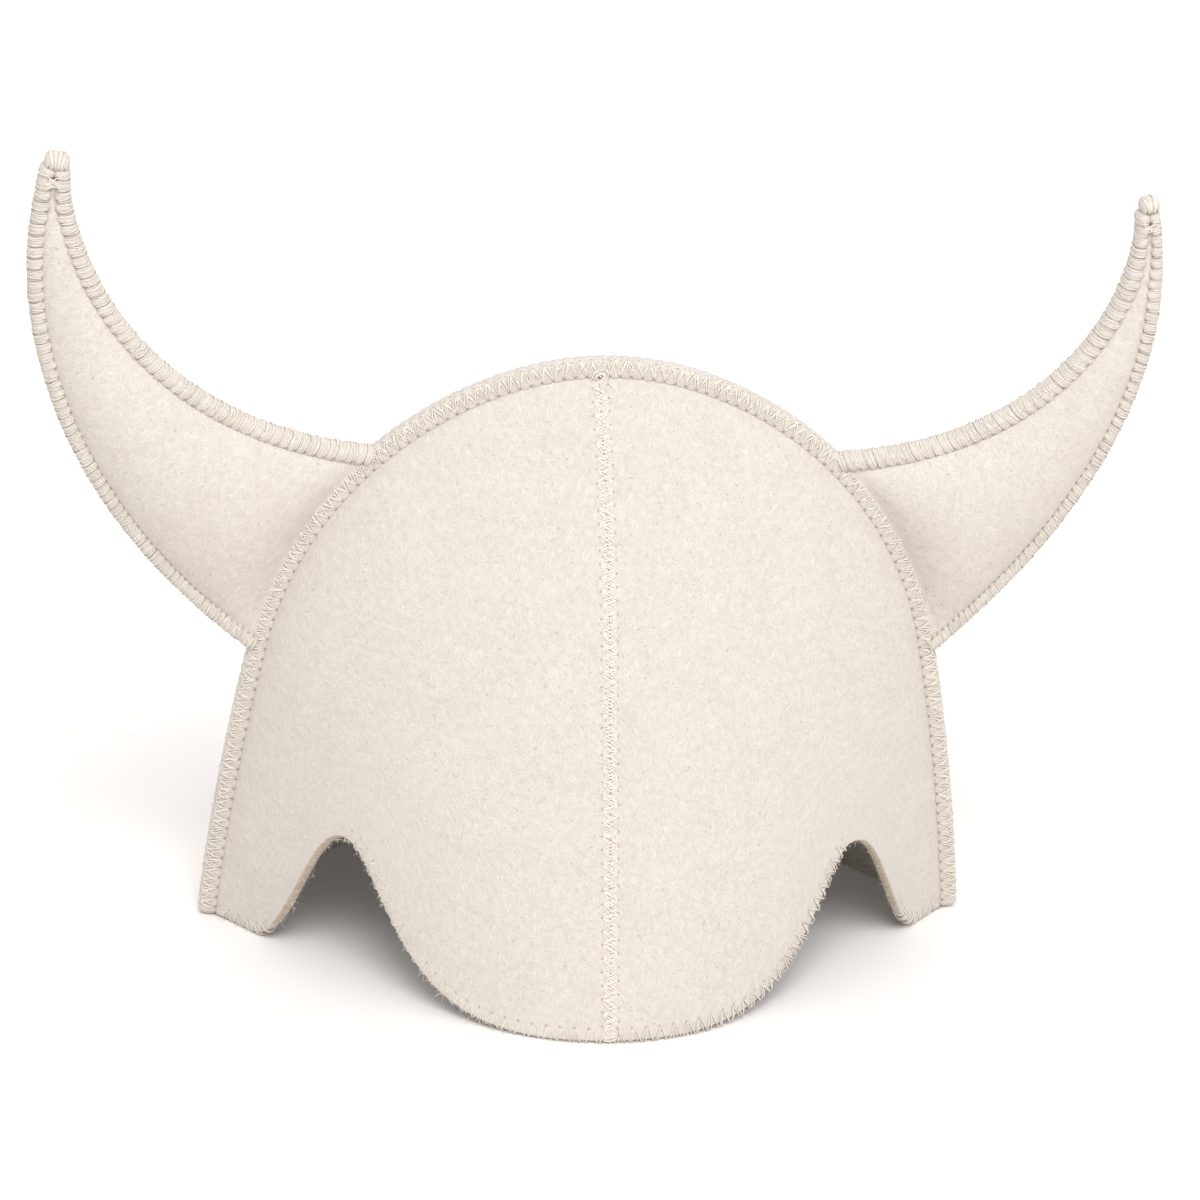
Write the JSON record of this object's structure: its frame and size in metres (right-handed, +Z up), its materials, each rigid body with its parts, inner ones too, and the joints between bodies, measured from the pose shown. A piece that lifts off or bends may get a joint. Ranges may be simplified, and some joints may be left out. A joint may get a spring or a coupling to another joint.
{
  "type": "sauna hat",
  "caption": "Thick wool felt sauna hat with a raised arch seam, a curved horn on each side and an open notch in the front brim on either side of a wide lobe",
  "frame": {"origin": "on the floor under the hat, midway between the outer reaches of the horns and in the plane of the arch seam", "axes": "+X from the left horn to the right horn as seen from the front, -Y towards the front lobe, +Z up"},
  "size_m": [0.3342, 0.1742, 0.2446],
  "materials": {
    "panel_felt": "matt thick wool felt, natural off-white",
    "horn_felt": "matt thick wool felt, natural off-white"
  },
  "bodies": {
    "root": {"front_left_panel": "panel_felt", "front_right_panel": "panel_felt", "back_left_panel": "panel_felt", "back_right_panel": "panel_felt", "left_horn_front": "horn_felt", "right_horn_front": "horn_felt", "left_horn_back": "horn_felt", "right_horn_back": "horn_felt"}
  },
  "joints": []
}
